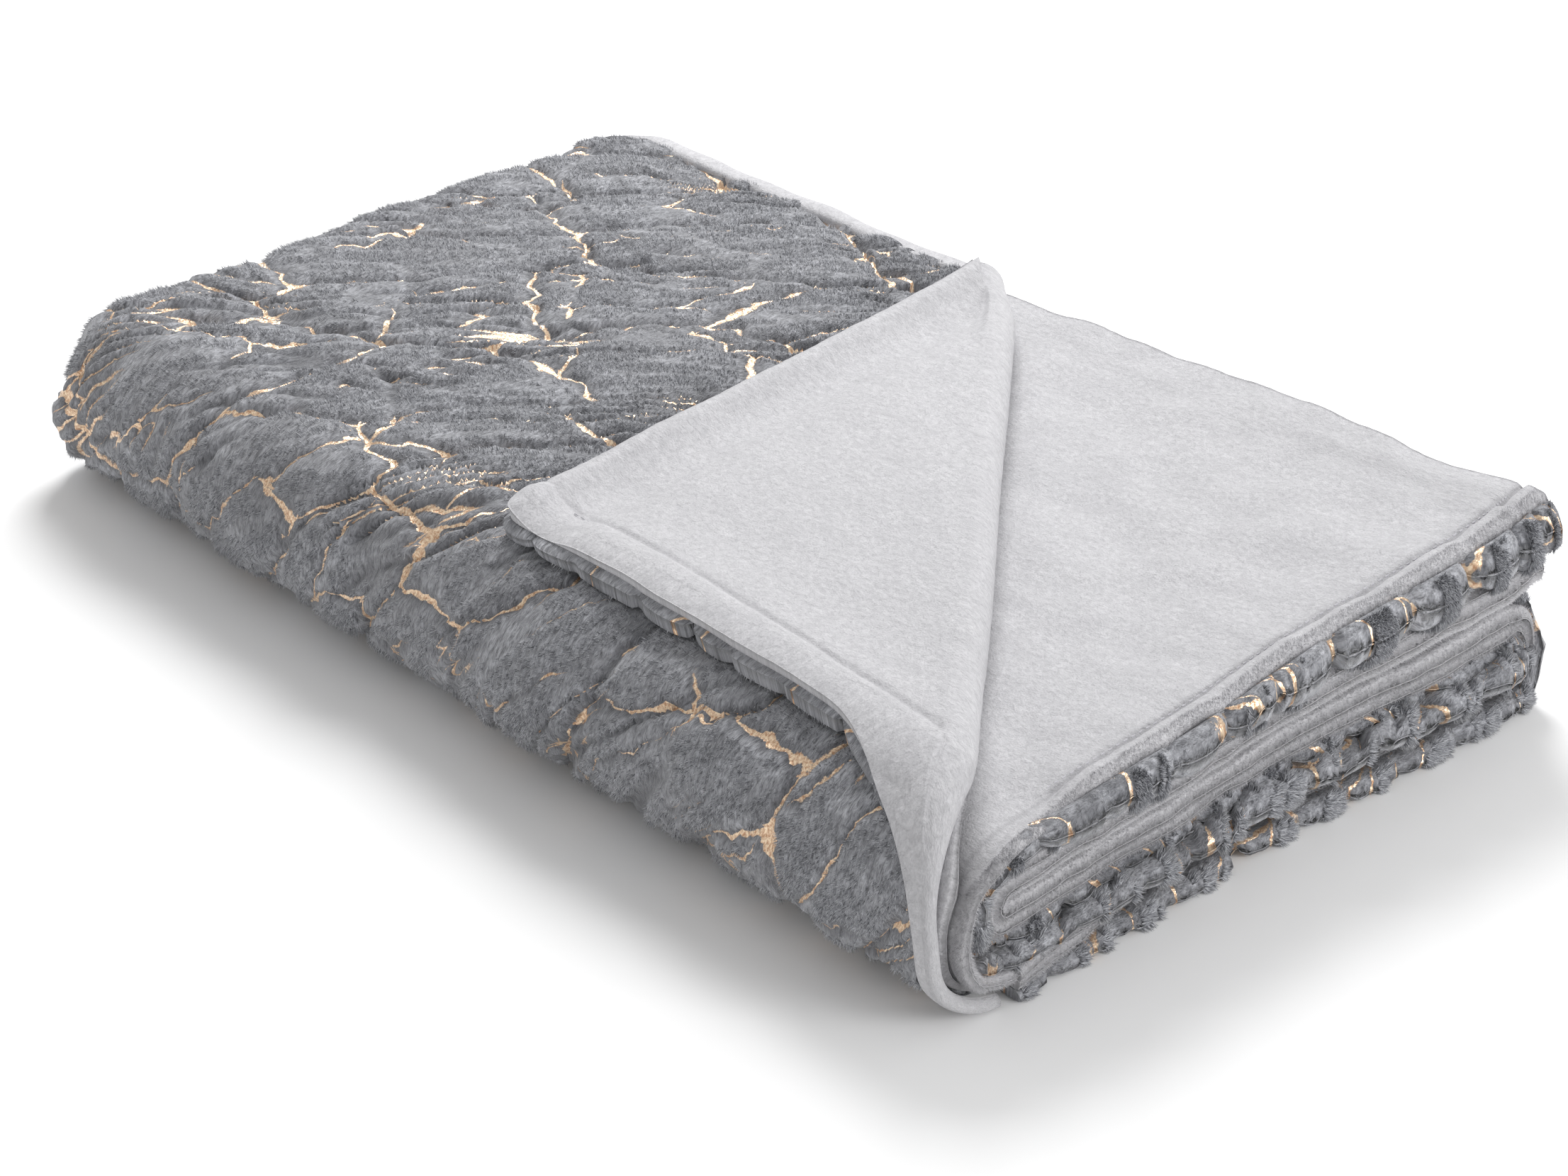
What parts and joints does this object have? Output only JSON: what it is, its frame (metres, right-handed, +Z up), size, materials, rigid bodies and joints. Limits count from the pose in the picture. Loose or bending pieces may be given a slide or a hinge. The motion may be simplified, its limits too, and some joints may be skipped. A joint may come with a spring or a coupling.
{
  "type": "folded throw blanket",
  "caption": "Throw blanket of grey faux fur with gold-foiled veins and a pale fleece reverse, folded in quarters, with one corner turned back.",
  "frame": {"origin": "centre of the footprint, on the surface that the folded throw lies on", "axes": "+X to the hemmed end, -X to the folded end, -Y to the long front fold, +Z up"},
  "size_m": [0.78, 0.5, 0.1351],
  "materials": {
    "faux_fur": "short soft pile with sunken rose-gold foil veins",
    "fleece": "short brushed nap",
    "hem_binding": "short brushed nap, turned over the edge and stitched",
    "thread": "twisted polyester"
  },
  "bodies": {
    "pack": {"second_upper_fur": "faux_fur", "second_upper_fleece": "fleece", "second_lower_fleece": "fleece", "second_lower_fur": "faux_fur", "second_end_fold_fur": "faux_fur", "second_end_fold_fleece": "fleece", "second_back_hems": "hem_binding", "second_end_hems": "hem_binding", "core_fold_outer_fur": "faux_fur", "core_fold_outer_fleece": "fleece", "core_fold_inner_fleece": "fleece", "core_fold_inner_fur": "faux_fur", "third_upper_fur": "faux_fur", "third_upper_fleece": "fleece", "third_lower_fleece": "fleece", "third_lower_fur": "faux_fur", "third_end_fold_fur": "faux_fur", "third_end_fold_fleece": "fleece", "third_end_hems": "hem_binding", "back_fold_outer_fur": "faux_fur", "back_fold_outer_fleece": "fleece", "back_fold_inner_fleece": "fleece", "back_fold_inner_fur": "faux_fur", "bottom_upper_fur": "faux_fur", "bottom_upper_fleece": "fleece", "bottom_lower_fleece": "fleece", "bottom_lower_fur": "faux_fur", "bottom_front_outer_fur": "faux_fur", "bottom_front_outer_fleece": "fleece", "bottom_front_inner_fleece": "fleece", "bottom_front_inner_fur": "faux_fur", "bottom_end_fold_fur": "faux_fur", "bottom_end_fold_fleece": "fleece", "bottom_end_hems": "hem_binding"},
    "top_leaf": {"top_upper_fur": "faux_fur", "top_upper_fleece": "fleece", "top_lower_fleece": "fleece", "top_lower_fur": "faux_fur", "top_front_outer_fur": "faux_fur", "top_front_outer_fleece": "fleece", "top_front_inner_fleece": "fleece", "top_front_inner_fur": "faux_fur", "top_end_fold_fur": "faux_fur", "top_end_fold_fleece": "fleece", "top_upper_back_hem": "hem_binding", "top_lower_back_hem": "hem_binding", "top_lower_end_hem": "hem_binding", "top_front_end_hem": "hem_binding", "top_hem_stitching": "thread", "crease_lower_fur": "faux_fur", "crease_lower_fleece": "fleece"},
    "corner": {"corner_fur": "faux_fur", "corner_fleece": "fleece", "crease_upper_fur": "faux_fur", "crease_upper_fleece": "fleece", "corner_back_hem": "hem_binding", "corner_end_hem": "hem_binding", "corner_stitching": "thread"}
  },
  "joints": [
    {"name": "top_open", "type": "hinge", "parent": "pack", "child": "top_leaf", "pos_m": [0, -0.25, 0.05985], "axis": [1, 0, 0], "range_deg": [0, 174]},
    {"name": "corner_turn", "type": "hinge", "parent": "top_leaf", "child": "corner", "pos_m": [-0.02, 0.25, 0.11985], "axis": [-0.6525, 0.7578, 0], "range_deg": [0, 170]}
  ]
}
